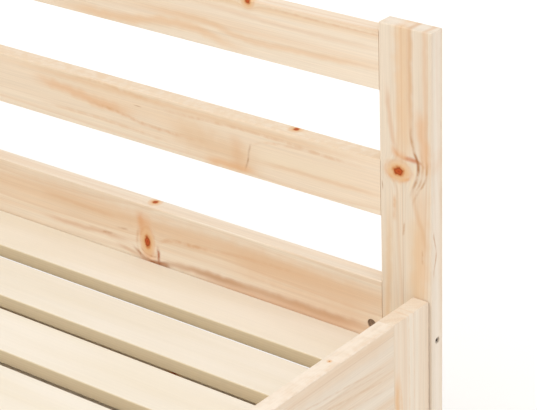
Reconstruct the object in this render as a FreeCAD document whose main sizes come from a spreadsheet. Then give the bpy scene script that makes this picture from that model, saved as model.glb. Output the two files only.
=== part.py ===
import FreeCAD, Part
import os
import re
from collections import defaultdict

# A pine daybed with a roll-out trundle, built as a knock-down kit of planed boards.
# The origin is on the floor under the middle of the bed: +X along it, +Y to its back, +Z up.

SIZES = [
    ("bed_length", "2055", "over the posts"),
    ("bed_depth", "950", "over the posts"),
    ("board_width", "70", "posts, stiles, upper rails and bearers"),
    ("board_thick", "22", "every pine board"),
    ("arris", "1.5", "rounded edges of the boards"),
    ("deck_height", "332", "floor to the top of the bed's slats"),
    ("rail_height", "133", "front rail and the back's bottom rail"),
    ("rail_gap", "84.5", "open gaps between the back's rails"),
    ("rail_drop", "11", "rails below the tops of their posts"),
    ("end_drop", "6", "end panels below the top of the back's bottom rail"),
    ("end_inset", "3.7", "end panels inside the posts' outer edges"),
    ("panel_floor_gap", "60", "floor to the end panels"),
    ("slat_width", "74", "slats of both beds"),
    ("slat_thick", "19", "slats of both beds"),
    ("slat_arris", "2", "rounded edges of the slats"),
    ("slat_play", "0.5", "between a rail and the slat or bearer against it"),
    ("slat_end_play", "2", "beyond the ends of a slat"),
    ("front_slat_gap", "40", "front slat to the front rail"),
    ("bearer_end_gap", "1", "outermost bearers to the end panels"),
    ("ledger_width", "22", "battens that carry the bearers"),
    ("ledger_height", "14", "battens that carry the bearers"),
    ("ledger_screw_inset", "100", "first screw from a ledger's end"),
    ("hole_play", "0.1", "a fastener in its hole, all round"),
    ("hole_spare", "1", "a blind hole past the end of its fastener"),
    ("dowel_diameter", "8", ""),
    ("dowel_in_face", "13", "dowel in the board that is drilled across its grain"),
    ("dowel_in_end", "25", "dowel in the board that is drilled in its end or edge"),
    ("rail_dowel_edge", "17", "dowels from the edges of a narrow rail"),
    ("deep_dowel_edge", "25", "dowels from the edges of a deep rail"),
    ("corner_dowel_low", "165", "stile dowel above the floor"),
    ("corner_dowel_high", "300", "stile dowel above the floor"),
    ("corner_bolt_low", "90", "stile bolt above the floor"),
    ("corner_bolt_high", "235", "stile bolt above the floor"),
    ("bolt_diameter", "6", "frame bolts"),
    ("bolt_head_diameter", "8.4", "cylinder heads"),
    ("bolt_head_height", "5", ""),
    ("bolt_head_depth", "1", "head below the post's face"),
    ("bolt_past_nut", "3", "bolt's end past its barrel nut"),
    ("bolt_socket", "4", "hexagon across its flats"),
    ("bolt_socket_depth", "3", ""),
    ("bolt_drop", "60", "rail bolt below the top of its rail"),
    ("nut_diameter", "12", "barrel nuts"),
    ("nut_length", "17", ""),
    ("nut_depth", "1", "nut below the rail's inner face"),
    ("nut_set", "15", "nut's middle from the end of its board"),
    ("screw_diameter", "4", "countersunk wood screws"),
    ("screw_head_diameter", "8", ""),
    ("screw_length", "32", ""),
    ("screw_head_depth", "0.3", "head below the wood"),
    ("trundle_side_gap", "5", "trundle to the posts"),
    ("trundle_front_set", "2", "trundle behind the posts' front"),
    ("trundle_back_set", "3", "trundle in front of the posts' back"),
    ("trundle_floor_gap", "20", "floor to the trundle's front board"),
    ("finger_gap", "28", "trundle's front board to the front rail"),
    ("side_dowel_edge", "10", "dowels of the trundle's sides from their seats"),
    ("caster_height", "64", "floor to the underside of the trundle's frame"),
    ("caster_inset", "110", "wheel's middle from the trundle's front and back"),
    ("plate_length", "60", "caster plate along the bed"),
    ("plate_width", "50", "caster plate across the bed"),
    ("plate_thick", "2.5", "caster plate and cheeks"),
    ("plate_screw_edge", "8", "screws from the plate's edges"),
    ("cheek_radius", "11", "rounded lower end of a caster's cheeks"),
    ("wheel_radius", "25", ""),
    ("wheel_width", "18", ""),
    ("tread_round", "4", "rounded corners of the tread"),
    ("hub_radius", "8", ""),
    ("hub_width", "21", ""),
    ("rim_thick", "6", "rim outside the wheel's side recesses"),
    ("recess_depth", "4", "side recesses of the wheel"),
    ("hub_play", "0.5", "hub to the cheeks"),
    ("axle_diameter", "6", ""),
    ("axle_play", "0.08", "wheel's bore round its axle"),
    ("rivet_diameter", "10", "heads of the axle"),
    ("rivet_thick", "2", ""),
    ("plate_screw_length", "14", "caster screws under their heads"),
    ("plate_screw_head", "7.5", "pan heads"),
    ("plate_screw_head_height", "2.4", "pan heads"),
]

SOCKET_SIDES = 6
BEARERS = 4
SLATS = 9
LEDGER_SCREWS = 6
PANEL_DOWELS = 3
TRUNDLE_BEARERS = 4
TRUNDLE_SLATS = 8

# Heights, from the slats down to the ledgers and from there up the back.
SLAT_LOW = "(deck_height - slat_thick)"
BEARER_LOW = f"({SLAT_LOW} - board_thick)"
BOTTOM_RAIL_LOW = f"({BEARER_LOW} - ledger_height)"
BOTTOM_RAIL_TOP = f"({BOTTOM_RAIL_LOW} + rail_height)"
MIDDLE_RAIL_LOW = f"({BOTTOM_RAIL_TOP} + rail_gap)"
TOP_RAIL_LOW = f"({MIDDLE_RAIL_LOW} + board_width + rail_gap)"
POST_TOP = f"({TOP_RAIL_LOW} + board_width + rail_drop)"
END_TOP = f"({BOTTOM_RAIL_TOP} - end_drop)"
FRONT_RAIL_TOP = f"({END_TOP} - rail_drop)"
FRONT_RAIL_LOW = f"({FRONT_RAIL_TOP} - rail_height)"

# The bed's plan.
RAIL_LENGTH = "(bed_length - 2 * board_width)"
POST_X = "(bed_length / 2 - board_width / 2)"
POST_Y = "(bed_depth / 2 - board_thick / 2)"
STILE_X = "(bed_length / 2 - end_inset - board_thick / 2)"
STILE_Y = "(bed_depth / 2 - board_thick - board_width / 2)"
INNER_LENGTH = "(bed_length - 2 * end_inset - 2 * board_thick)"
INNER_DEPTH = "(bed_depth - 2 * board_thick)"
BEARER_SPREAD = f"({INNER_LENGTH} - 2 * bearer_end_gap - board_width)"
SLAT_SPREAD = f"({INNER_DEPTH} - slat_play - front_slat_gap - slat_width)"
LEDGER_LENGTH = f"({INNER_LENGTH} - 2 * slat_end_play)"

# The trundle's plan and heights.
TRUNDLE_LENGTH = f"({RAIL_LENGTH} - 2 * trundle_side_gap)"
TRUNDLE_DEPTH = "(bed_depth - trundle_front_set - trundle_back_set)"
TRUNDLE_Y = "((trundle_front_set - trundle_back_set) / 2)"
TRUNDLE_TOP = f"({FRONT_RAIL_LOW} - finger_gap)"
TRUNDLE_SLAT_LOW = "(caster_height + board_thick)"
TRUNDLE_DECK = f"({TRUNDLE_SLAT_LOW} + slat_thick)"
TRUNDLE_INNER_LENGTH = f"({TRUNDLE_LENGTH} - 2 * board_thick)"
TRUNDLE_INNER_DEPTH = f"({TRUNDLE_DEPTH} - 2 * board_thick)"
TRUNDLE_BEARER_SPREAD = f"({TRUNDLE_INNER_LENGTH} - 2 * bearer_end_gap - board_width)"
TRUNDLE_SLAT_SPREAD = f"({TRUNDLE_INNER_DEPTH} - 2 * slat_play - slat_width)"
CASTER_X = f"({TRUNDLE_BEARER_SPREAD} / 2)"
CASTER_Y = f"({TRUNDLE_DEPTH} / 2 - caster_inset)"

# Each rail's end of the bed, underside, height and the distance of its dowels from its edges.
RAILS = {
    "back_top_rail": ("back", TOP_RAIL_LOW, "board_width", "rail_dowel_edge"),
    "back_middle_rail": ("back", MIDDLE_RAIL_LOW, "board_width", "rail_dowel_edge"),
    "back_bottom_rail": ("back", BOTTOM_RAIL_LOW, "rail_height", "deep_dowel_edge"),
    "front_rail": ("front", FRONT_RAIL_LOW, "rail_height", "deep_dowel_edge"),
}

AXES = {
    "+x": (1, 0, 0),
    "-x": (-1, 0, 0),
    "+y": (0, 1, 0),
    "-y": (0, -1, 0),
    "+z": (0, 0, 1),
    "-z": (0, 0, -1),
}
REVERSE = {axis: ("-" if axis[0] == "+" else "+") + axis[1] for axis in AXES}
SIDES = {"left": -1, "right": 1}
ENDS = {"front": -1, "back": 1}
PARALLEL = 1e-6

doc = FreeCAD.newDocument("Daybed")
sheet = doc.addObject("Spreadsheet::Sheet", "Sizes")
for row, (alias, value, note) in enumerate(SIZES, 1):
    sheet.set(f"A{row}", alias)
    sheet.set(f"B{row}", value)
    sheet.setAlias(f"B{row}", alias)
    sheet.set(f"C{row}", note)
doc.recompute()

SIZE_NAME = re.compile(r"\b(" + "|".join(alias for alias, _, _ in SIZES) + r")\b")
NODES = {}
HOLES = defaultdict(list)


def bind(obj, **formulas):
    """Ties properties to the sheet: each size named in a formula becomes a reference to its cell."""
    for prop, formula in formulas.items():
        obj.setExpression(prop.replace("_", "."), SIZE_NAME.sub(r"Sizes.\1", str(formula)))


def place(obj, point, axis="+z"):
    """Puts a primitive's base at a point, with its own Z along the axis."""
    turn = FreeCAD.Rotation(FreeCAD.Vector(0, 0, 1), FreeCAD.Vector(*AXES[axis]))
    obj.Placement = FreeCAD.Placement(FreeCAD.Vector(), turn)
    x, y, z = point
    bind(obj, Placement_Base_x=x, Placement_Base_y=y, Placement_Base_z=z)
    return obj


def along(point, axis, distance):
    """The point that lies a distance along the axis from another."""
    return tuple(f"{start} + ({step}) * ({distance})" for start, step in zip(point, AXES[axis]))


def box(size, centre):
    """A box of the given size about its centre."""
    obj = doc.addObject("Part::Box", "Blank")
    bind(obj, Length=size[0], Width=size[1], Height=size[2])
    return place(obj, [f"({middle}) - ({side}) / 2" for middle, side in zip(centre, size)])


def cylinder(point, axis, diameter, length):
    obj = doc.addObject("Part::Cylinder", "Round")
    bind(obj, Radius=f"({diameter}) / 2", Height=length)
    return place(obj, point, axis)


def cone(point, axis, diameter, end_diameter, length):
    obj = doc.addObject("Part::Cone", "Taper")
    bind(obj, Radius1=f"({diameter}) / 2", Radius2=f"({end_diameter}) / 2", Height=length)
    return place(obj, point, axis)


def fuse(*shapes):
    obj = doc.addObject("Part::MultiFuse", "Joined")
    obj.Shapes = list(shapes)
    return obj


def cut(base, tools):
    """The base less all the tools."""
    bits = doc.addObject("Part::Compound", "Bits")
    bits.Links = list(tools)
    obj = doc.addObject("Part::Cut", "Cut")
    obj.Base = base
    obj.Tool = bits
    return obj


def node(label, obj):
    """Names a finished sub-part."""
    obj.Label = label
    NODES[label] = obj
    return obj


def group(label, pieces):
    """Like pieces that share one node as separate solids."""
    obj = doc.addObject("Part::Compound", "Group")
    obj.Links = list(pieces)
    return node(label, obj)


def rounded(blank, radius, edges):
    """A blank with some of its edges rounded."""
    obj = doc.addObject("Part::Fillet", "Eased")
    obj.Base = blank
    obj.Edges = [(number, radius, radius) for number in edges]
    return obj


def edges_along(shape, grain):
    """The numbers of a box's edges that run along the grain, or all of them where no grain is given."""
    if not grain:
        return range(1, len(shape.Edges) + 1)
    axis = FreeCAD.Vector(*AXES["+" + grain])
    ways = [edge.Vertexes[1].Point - edge.Vertexes[0].Point for edge in shape.Edges]
    return [number for number, way in enumerate(ways, 1) if way.cross(axis).Length < PARALLEL]


def board(label, size, centre, grain="", radius="arris"):
    """A planed board: its blank, its rounded edges, then the holes that its joints need.
    A board whose ends show is rounded all round, and has no grain given."""
    blank = box(size, centre)
    doc.recompute()
    eased = rounded(blank, sheet.get(radius), edges_along(blank.Shape, grain))
    return node(label, cut(eased, HOLES[label]) if HOLES[label] else eased)


def drill(label, point, axis, diameter, depth):
    """A hole in a named board, from a point on its face."""
    HOLES[label].append(cylinder(point, axis, diameter, depth))


def dowel(face_board, end_board, point, axis):
    """A dowel across a butt joint, with its hole in both boards; the axis leads into the second board."""
    back = REVERSE[axis]
    bore = "dowel_diameter + 2 * hole_play"
    drill(face_board, point, back, bore, "dowel_in_face + hole_spare")
    drill(end_board, point, axis, bore, "dowel_in_end + hole_spare")
    start = along(point, back, "dowel_in_face")
    return cylinder(start, axis, "dowel_diameter", "dowel_in_face + dowel_in_end")


def bolt(post, rail, head_point, axis, thickness, nut_axis):
    """A cylinder-head bolt through a post into a board's end, and the barrel nut that it pulls on.
    The nut axis leads from the nut's middle to the face that its hole opens in."""
    head_space = "bolt_head_depth + bolt_head_height"
    shank_bore = "bolt_diameter + 2 * hole_play"
    past_joint = "nut_set + nut_diameter / 2 + bolt_past_nut"
    joint = along(head_point, axis, thickness)
    top = along(head_point, axis, "bolt_head_depth")
    seat = along(head_point, axis, head_space)
    drill(post, head_point, axis, "bolt_head_diameter + 2 * hole_play", head_space)
    drill(post, seat, axis, shank_bore, f"{thickness} - ({head_space})")
    drill(rail, joint, axis, shank_bore, f"{past_joint} + hole_spare")
    nut_face = along(along(joint, axis, "nut_set"), nut_axis, "board_thick / 2")
    inward = REVERSE[nut_axis]
    drill(rail, nut_face, inward, "nut_diameter + 2 * hole_play", "nut_depth + nut_length + hole_spare")
    head = cylinder(top, axis, "bolt_head_diameter", "bolt_head_height")
    shank = cylinder(seat, axis, "bolt_diameter", f"{thickness} - ({head_space}) + {past_joint}")
    socket = doc.addObject("Part::Prism", "Socket")
    socket.Polygon = SOCKET_SIDES
    bind(socket, Circumradius="bolt_socket / sqrt(3)", Height="bolt_socket_depth")
    place(socket, top, axis)
    nut = cylinder(along(nut_face, inward, "nut_depth"), inward, "nut_diameter", "nut_length")
    thread = cylinder(joint, axis, shank_bore, "nut_set + nut_diameter")
    return cut(fuse(head, shank), [socket]), cut(nut, [thread])


def screw(upper, lower, point, axis, thickness):
    """A countersunk screw through one board into the next, with its holes."""
    bore = "screw_diameter + 2 * hole_play"
    sink = "screw_head_diameter + 2 * hole_play"
    taper = "(screw_head_diameter - screw_diameter) / 2"
    head_point = along(point, axis, "screw_head_depth")
    drill(upper, point, axis, sink, "screw_head_depth")
    HOLES[upper].append(cone(head_point, axis, sink, bore, taper))
    drill(upper, along(head_point, axis, taper), axis, bore, f"{thickness} - screw_head_depth - {taper}")
    joint = along(point, axis, thickness)
    drill(lower, joint, axis, bore, f"screw_head_depth + screw_length + hole_spare - {thickness}")
    head = cone(head_point, axis, "screw_head_diameter", "screw_diameter", taper)
    shank = cylinder(along(head_point, axis, taper), axis, "screw_diameter", f"screw_length - {taper}")
    return fuse(head, shank)


def rail_dowels():
    """Two dowels at each end of every rail, into the edges of the posts."""
    made = []
    for rail, (end, low, height, edge) in RAILS.items():
        for side, sign in SIDES.items():
            for level in (f"{low} + {edge}", f"{low} + {height} - {edge}"):
                point = (f"{sign} * {RAIL_LENGTH} / 2", f"{ENDS[end]} * {POST_Y}", level)
                made.append(dowel(f"{end}_post_{side}", rail, point, "-x" if sign > 0 else "+x"))
    return made


def end_dowels():
    """Dowels from the end panels into their stiles, and from the stiles into the posts."""
    panel_height = f"({END_TOP} - panel_floor_gap)"
    made = []
    for side, sign in SIDES.items():
        for end, way in ENDS.items():
            outward = "+y" if way > 0 else "-y"
            stile = f"{side}_{end}_stile"
            for step in range(PANEL_DOWELS):
                level = f"panel_floor_gap + {panel_height} * ({step} + 0.5) / {PANEL_DOWELS}"
                point = (f"{sign} * {STILE_X}", f"{way} * ({STILE_Y} - board_width / 2)", level)
                made.append(dowel(stile, f"{side}_end_panel", point, REVERSE[outward]))
            for level in ("corner_dowel_low", "corner_dowel_high"):
                point = (f"{sign} * {STILE_X}", f"{way} * {INNER_DEPTH} / 2", level)
                made.append(dowel(f"{end}_post_{side}", stile, point, REVERSE[outward]))
    return made


def frame_bolts():
    """One bolt through each post into its deep rail, and two through each post into the stile behind it."""
    bolts = []
    nuts = []
    for side, sign in SIDES.items():
        for end, way in ENDS.items():
            post = f"{end}_post_{side}"
            rail = "back_bottom_rail" if way > 0 else "front_rail"
            top = BOTTOM_RAIL_TOP if way > 0 else FRONT_RAIL_TOP
            inward_x = "-x" if sign > 0 else "+x"
            inward_y = "-y" if way > 0 else "+y"
            point = (f"{sign} * bed_length / 2", f"{way} * {POST_Y}", f"{top} - bolt_drop")
            pairs = [bolt(post, rail, point, inward_x, "board_width", inward_y)]
            for level in ("corner_bolt_low", "corner_bolt_high"):
                point = (f"{sign} * {STILE_X}", f"{way} * bed_depth / 2", level)
                pairs.append(bolt(post, f"{side}_{end}_stile", point, inward_y, "board_thick", inward_x))
            bolts += [pair[0] for pair in pairs]
            nuts += [pair[1] for pair in pairs]
    return bolts, nuts


def spread(total, count, step):
    """The offset of one of several evenly spread pieces from the middle of the spread."""
    return f"{total} * ({step} / ({count} - 1) - 0.5)"


def slat_y(step):
    """Middle of a bed slat, counted from the back rail."""
    return f"{INNER_DEPTH} / 2 - slat_play - slat_width / 2 - {SLAT_SPREAD} * {step} / ({SLATS} - 1)"


def trundle_slat_y(step):
    """Middle of a trundle slat, counted from the back board."""
    return f"{TRUNDLE_Y} - ({spread(TRUNDLE_SLAT_SPREAD, TRUNDLE_SLATS, step)})"


def bed_screws():
    """A screw from below where each slat crosses each bearer, and a row through each ledger into its rail."""
    made = []
    for slat in range(SLATS):
        for bearer in range(BEARERS):
            point = (spread(BEARER_SPREAD, BEARERS, bearer), slat_y(slat), BEARER_LOW)
            made.append(screw(f"bed_bearer_{bearer + 1}", f"bed_slat_{slat + 1}", point, "+z", "board_thick"))
    level = f"{BOTTOM_RAIL_LOW} + ledger_height / 2"
    row = f"({LEDGER_LENGTH} - 2 * ledger_screw_inset)"
    for end, way in ENDS.items():
        rail = "back_bottom_rail" if way > 0 else "front_rail"
        for step in range(LEDGER_SCREWS):
            point = (spread(row, LEDGER_SCREWS, step), f"{way} * ({INNER_DEPTH} / 2 - ledger_width)", level)
            made.append(screw(f"{end}_ledger", rail, point, "+y" if way > 0 else "-y", "ledger_width"))
    return made


def bed_boards():
    """The daybed's own boards."""
    for side, sign in SIDES.items():
        for end, way in ENDS.items():
            top = POST_TOP if way > 0 else END_TOP
            board(f"{end}_post_{side}", ("board_width", "board_thick", top),
                  (f"{sign} * {POST_X}", f"{way} * {POST_Y}", f"{top} / 2"))
            board(f"{side}_{end}_stile", ("board_thick", "board_width", END_TOP),
                  (f"{sign} * {STILE_X}", f"{way} * {STILE_Y}", f"{END_TOP} / 2"))
        board(f"{side}_end_panel",
              ("board_thick", f"{INNER_DEPTH} - 2 * board_width", f"{END_TOP} - panel_floor_gap"),
              (f"{sign} * {STILE_X}", "0", f"({END_TOP} + panel_floor_gap) / 2"), "y")
    for rail, (end, low, height, _) in RAILS.items():
        board(rail, (RAIL_LENGTH, "board_thick", height),
              ("0", f"{ENDS[end]} * {POST_Y}", f"{low} + {height} / 2"), "x")
    for end, way in ENDS.items():
        y = f"{way} * ({INNER_DEPTH} / 2 - ledger_width / 2)"
        board(f"{end}_ledger", (LEDGER_LENGTH, "ledger_width", "ledger_height"),
              ("0", y, f"{BOTTOM_RAIL_LOW} + ledger_height / 2"), "x")
    for step in range(BEARERS):
        board(f"bed_bearer_{step + 1}", ("board_width", f"{INNER_DEPTH} - 2 * slat_play", "board_thick"),
              (spread(BEARER_SPREAD, BEARERS, step), "0", f"{BEARER_LOW} + board_thick / 2"), "y")
    for step in range(SLATS):
        board(f"bed_slat_{step + 1}", (f"{INNER_LENGTH} - 2 * slat_end_play", "slat_width", "slat_thick"),
              ("0", slat_y(step), f"{SLAT_LOW} + slat_thick / 2"), "", "slat_arris")


def trundle_dowels():
    """Dowels from the trundle's front and back boards into its sides and bearers."""
    made = []
    for end, way in ENDS.items():
        face_board = f"trundle_{end}_board"
        inward = "-y" if way > 0 else "+y"
        y = f"{TRUNDLE_Y} + {way} * {TRUNDLE_INNER_DEPTH} / 2"
        for side, sign in SIDES.items():
            x = f"{sign} * ({TRUNDLE_LENGTH} / 2 - board_thick / 2)"
            for level in ("caster_height + side_dowel_edge", f"{TRUNDLE_DECK} - side_dowel_edge"):
                made.append(dowel(face_board, f"trundle_{side}_board", (x, y, level), inward))
        for step in range(TRUNDLE_BEARERS):
            for shift in ("- board_width / 2 + rail_dowel_edge", "+ board_width / 2 - rail_dowel_edge"):
                x = f"{spread(TRUNDLE_BEARER_SPREAD, TRUNDLE_BEARERS, step)} {shift}"
                point = (x, y, "caster_height + board_thick / 2")
                made.append(dowel(face_board, f"trundle_bearer_{step + 1}", point, inward))
    return made


def trundle_screws():
    """A screw where each trundle slat crosses each bearer."""
    made = []
    for slat in range(TRUNDLE_SLATS):
        for bearer in range(TRUNDLE_BEARERS):
            x = spread(TRUNDLE_BEARER_SPREAD, TRUNDLE_BEARERS, bearer)
            point = (x, trundle_slat_y(slat), TRUNDLE_DECK)
            slat_name = f"trundle_slat_{slat + 1}"
            made.append(screw(slat_name, f"trundle_bearer_{bearer + 1}", point, "-z", "slat_thick"))
    return made


def trundle_boards():
    """The trundle's tall front and back boards, its sides level with the slats, its bearers and slats."""
    for end, way in ENDS.items():
        low = "caster_height" if way > 0 else "trundle_floor_gap"
        y = f"{TRUNDLE_Y} + {way} * ({TRUNDLE_DEPTH} / 2 - board_thick / 2)"
        board(f"trundle_{end}_board", (TRUNDLE_LENGTH, "board_thick", f"{TRUNDLE_TOP} - {low}"),
              ("0", y, f"({TRUNDLE_TOP} + {low}) / 2"))
    for side, sign in SIDES.items():
        x = f"{sign} * ({TRUNDLE_LENGTH} / 2 - board_thick / 2)"
        board(f"trundle_{side}_board", ("board_thick", TRUNDLE_INNER_DEPTH, "board_width"),
              (x, TRUNDLE_Y, f"{TRUNDLE_DECK} - board_width / 2"), "y")
    for step in range(TRUNDLE_BEARERS):
        x = spread(TRUNDLE_BEARER_SPREAD, TRUNDLE_BEARERS, step)
        board(f"trundle_bearer_{step + 1}", ("board_width", TRUNDLE_INNER_DEPTH, "board_thick"),
              (x, TRUNDLE_Y, "caster_height + board_thick / 2"), "y")
    for step in range(TRUNDLE_SLATS):
        length = f"{TRUNDLE_INNER_LENGTH} - 2 * slat_end_play"
        board(f"trundle_slat_{step + 1}", (length, "slat_width", "slat_thick"),
              ("0", trundle_slat_y(step), f"{TRUNDLE_SLAT_LOW} + slat_thick / 2"), "", "slat_arris")


def caster_bracket(x, y):
    """A pressed steel plate with two cheeks that hold the axle."""
    plate_low = "caster_height - plate_thick"
    parts = [box(("plate_length", "plate_width", "plate_thick"), (x, y, f"{plate_low} + plate_thick / 2"))]
    holes = []
    for sign in (-1, 1):
        cheek_x = f"{x} + {sign} * (hub_width / 2 + hub_play + plate_thick / 2)"
        height = f"({plate_low} - wheel_radius)"
        middle = (cheek_x, y, f"wheel_radius + {height} / 2")
        parts.append(box(("plate_thick", "2 * cheek_radius", height), middle))
        start = (f"{cheek_x} - plate_thick / 2", y, "wheel_radius")
        parts.append(cylinder(start, "+x", "2 * cheek_radius", "plate_thick"))
        holes.append(cylinder(start, "+x", "axle_diameter + 2 * hole_play", "plate_thick"))
    for point in plate_screw_points(x, y):
        holes.append(cylinder(point, "-z", "screw_diameter + 2 * hole_play", "plate_thick"))
    return cut(fuse(*parts), holes)


def plate_screw_points(x, y):
    """Where a caster's four screws enter the bearer."""
    reach_x = "(plate_length / 2 - plate_screw_edge)"
    reach_y = "(plate_width / 2 - plate_screw_edge)"
    corners = [(a, b) for a in (-1, 1) for b in (-1, 1)]
    return [(f"{x} + {a} * {reach_x}", f"{y} + {b} * {reach_y}", "caster_height") for a, b in corners]


def caster_screws(x, y, bearer):
    """Four pan-head screws that hold a caster's plate to its bearer."""
    made = []
    for point in plate_screw_points(x, y):
        depth = "plate_screw_length - plate_thick + hole_spare"
        drill(bearer, point, "+z", "screw_diameter + 2 * hole_play", depth)
        seat = along(point, "+z", "-plate_thick")
        head = cylinder(seat, "-z", "plate_screw_head", "plate_screw_head_height")
        made.append(fuse(head, cylinder(seat, "+z", "screw_diameter", "plate_screw_length")))
    return made


def caster_axle(x, y):
    """A pin through both cheeks, with a riveted head at each end."""
    half = "(hub_width / 2 + hub_play + plate_thick)"
    pin = cylinder((f"{x} - {half}", y, "wheel_radius"), "+x", "axle_diameter", f"2 * {half}")
    heads = [cylinder((f"{x} + {sign} * {half}", y, "wheel_radius"), axis, "rivet_diameter", "rivet_thick")
             for sign, axis in ((-1, "-x"), (1, "+x"))]
    return fuse(pin, *heads)


def caster_wheel(label, x, y):
    """A moulded wheel: rounded tread, a recess in each side and a hub that stands out to the cheeks."""
    tread = cylinder((f"{x} - wheel_width / 2", y, "wheel_radius"), "+x", "2 * wheel_radius", "wheel_width")
    doc.recompute()
    rims = [number for number, edge in enumerate(tread.Shape.Edges, 1) if edge.Closed]
    tyre = rounded(tread, sheet.get("tread_round"), rims)
    recesses = []
    for sign, axis in ((-1, "-x"), (1, "+x")):
        floor = (f"{x} + {sign} * (wheel_width / 2 - recess_depth)", y, "wheel_radius")
        recesses.append(cylinder(floor, axis, "2 * (wheel_radius - rim_thick)", "recess_depth"))
    hub_end = (f"{x} - hub_width / 2", y, "wheel_radius")
    hub = cylinder(hub_end, "+x", "2 * hub_radius", "hub_width")
    bore = cylinder(hub_end, "+x", "axle_diameter + 2 * axle_play", "hub_width")
    return node(label, cut(fuse(cut(tyre, recesses), hub), [bore]))


def casters():
    """Four fixed casters under the trundle's outermost bearers."""
    brackets = []
    axles = []
    screws = []
    for side, sign in SIDES.items():
        bearer = "trundle_bearer_1" if sign < 0 else f"trundle_bearer_{TRUNDLE_BEARERS}"
        for end, way in ENDS.items():
            x = f"{sign} * {CASTER_X}"
            y = f"({TRUNDLE_Y} + {way} * {CASTER_Y})"
            brackets.append(caster_bracket(x, y))
            axles.append(caster_axle(x, y))
            screws += caster_screws(x, y, bearer)
            caster_wheel(f"wheel_{end}_{side}", x, y)
    group("caster_brackets", brackets)
    group("caster_axles", axles)
    group("caster_screws", screws)


def check():
    """Stops if a feature failed or a sub-part's shape is empty or unsound."""
    failed = [obj.Label for obj in doc.Objects if {"Invalid", "Error"} & set(obj.State)]
    unsound = [label for label, obj in NODES.items() if obj.Shape.isNull() or not obj.Shape.isValid()]
    if failed or unsound:
        raise RuntimeError(f"failed features {failed}, unsound shapes {unsound}")


bolts, nuts = frame_bolts()
group("frame_bolts", bolts)
group("barrel_nuts", nuts)
group("frame_dowels", rail_dowels() + end_dowels())
group("bed_screws", bed_screws())
group("trundle_dowels", trundle_dowels())
group("trundle_screws", trundle_screws())
casters()
bed_boards()
trundle_boards()
doc.recompute()
check()

os.makedirs("parts", exist_ok=True)
for label, obj in NODES.items():
    obj.Shape.exportStep(f"parts/{label}.step")
print(len(NODES), "sub-parts written")
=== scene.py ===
"""Daybed with trundle: knock-down furniture of sanded, unfinished pine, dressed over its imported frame."""

import math

import bpy
import numpy as np
from mathutils import Matrix, Vector


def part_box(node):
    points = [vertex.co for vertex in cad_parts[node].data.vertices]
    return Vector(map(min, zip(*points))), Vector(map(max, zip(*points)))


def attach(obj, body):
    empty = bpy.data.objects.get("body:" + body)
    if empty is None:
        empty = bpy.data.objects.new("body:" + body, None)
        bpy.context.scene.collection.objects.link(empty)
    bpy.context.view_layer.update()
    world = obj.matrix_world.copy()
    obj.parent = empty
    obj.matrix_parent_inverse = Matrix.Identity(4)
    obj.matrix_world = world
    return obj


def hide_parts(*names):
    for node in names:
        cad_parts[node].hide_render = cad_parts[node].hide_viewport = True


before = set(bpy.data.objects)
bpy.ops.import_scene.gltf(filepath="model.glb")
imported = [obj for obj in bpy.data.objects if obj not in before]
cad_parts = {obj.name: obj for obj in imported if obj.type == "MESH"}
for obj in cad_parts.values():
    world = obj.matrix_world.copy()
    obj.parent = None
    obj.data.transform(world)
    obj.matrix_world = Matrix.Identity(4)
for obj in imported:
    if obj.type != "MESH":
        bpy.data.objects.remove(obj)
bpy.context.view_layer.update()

# Camera: heading to the left of +Y, downward tilt and roll in degrees, place in metres, focal length in mm
HEADING, TILT, ROLL = 39.309, 25.619, -2.281
CAMERA_PLACE = (2.2036, -1.2693, 1.5315)
FOCAL_LENGTH, SENSOR_WIDTH = 139.25, 36.0

# Pine: boards whose width is glued up from staves, as stave width and one glue line's place across the board, mm
STAVES = {
    "back_post_right": (60.0, -4.5), "back_post_left": (60.0, 16.8),
    "front_post_right": (46.0, 9.0), "front_post_left": (48.0, -10.0),
    "right_end_panel": (110.0, 50.0), "left_end_panel": (86.0, 12.0), "front_rail": (74.0, 8.0),
    "trundle_front_board": (70.0, -30.0), "trundle_back_board": (70.0, 5.0),
}
# Boards chosen: pith across and behind the face (mm), its lean, ring width (mm), then warmth, brightness and
# ring strength
CHOSEN = {
    "back_post_right": ((-105, 60), (0.0, 0.004), 9.0, 0.6, 0.88, 0.4),
    "back_top_rail": ((-60, 50), (0.006, 0.01), 11.0, 0.45, 0.965, 0.48),
    "back_middle_rail": ((30, 52), (-0.008, 0.012), 10.0, 0.15, 0.985, 0.35),
    "back_bottom_rail": ((95, 60), (0.012, 0.006), 12.0, 0.45, 0.955, 0.4),
    "right_back_stile": ((-70, 60), (0.005, 0.0), 11.0, 0.25, 0.92, 0.4),
    "right_end_panel": ((20, 80), (0.0, 0.01), 12.0, 0.5, 0.93, 0.35),
}
# Knots: branch place (mm, in the frame), branch direction, radius (mm), and paleness, 0 for a full orange-brown core.
# A board with an empty list is clear
KNOTS = {
    "back_post_right": [((983.0, 453, 557.1), (0.9, 1, 0.1), 5.0, 0.0)],
    "back_middle_rail": [((826.6, 469.0, 564.5), (0.3, -0.12, 1), 3.2, 0.0)],
    "back_top_rail": [((774.5, 453, 717.5), (0.1, 1, 0.15), 3.4, 0.0)],
    "back_bottom_rail": [
        ((593.3, 453, 358.5), (0.1, 1, 1.4), 4.5, 0.0),
        ((598.5, 467.0, 410.0), (0.2, -0.15, 1), 3.4, 0.0),
    ],
    "right_back_stile": [],
    "right_end_panel": [((1011.5, 280.2, 404.0), (0.1, 0.2, 1), 1.4, 0.6)],
}
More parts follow.
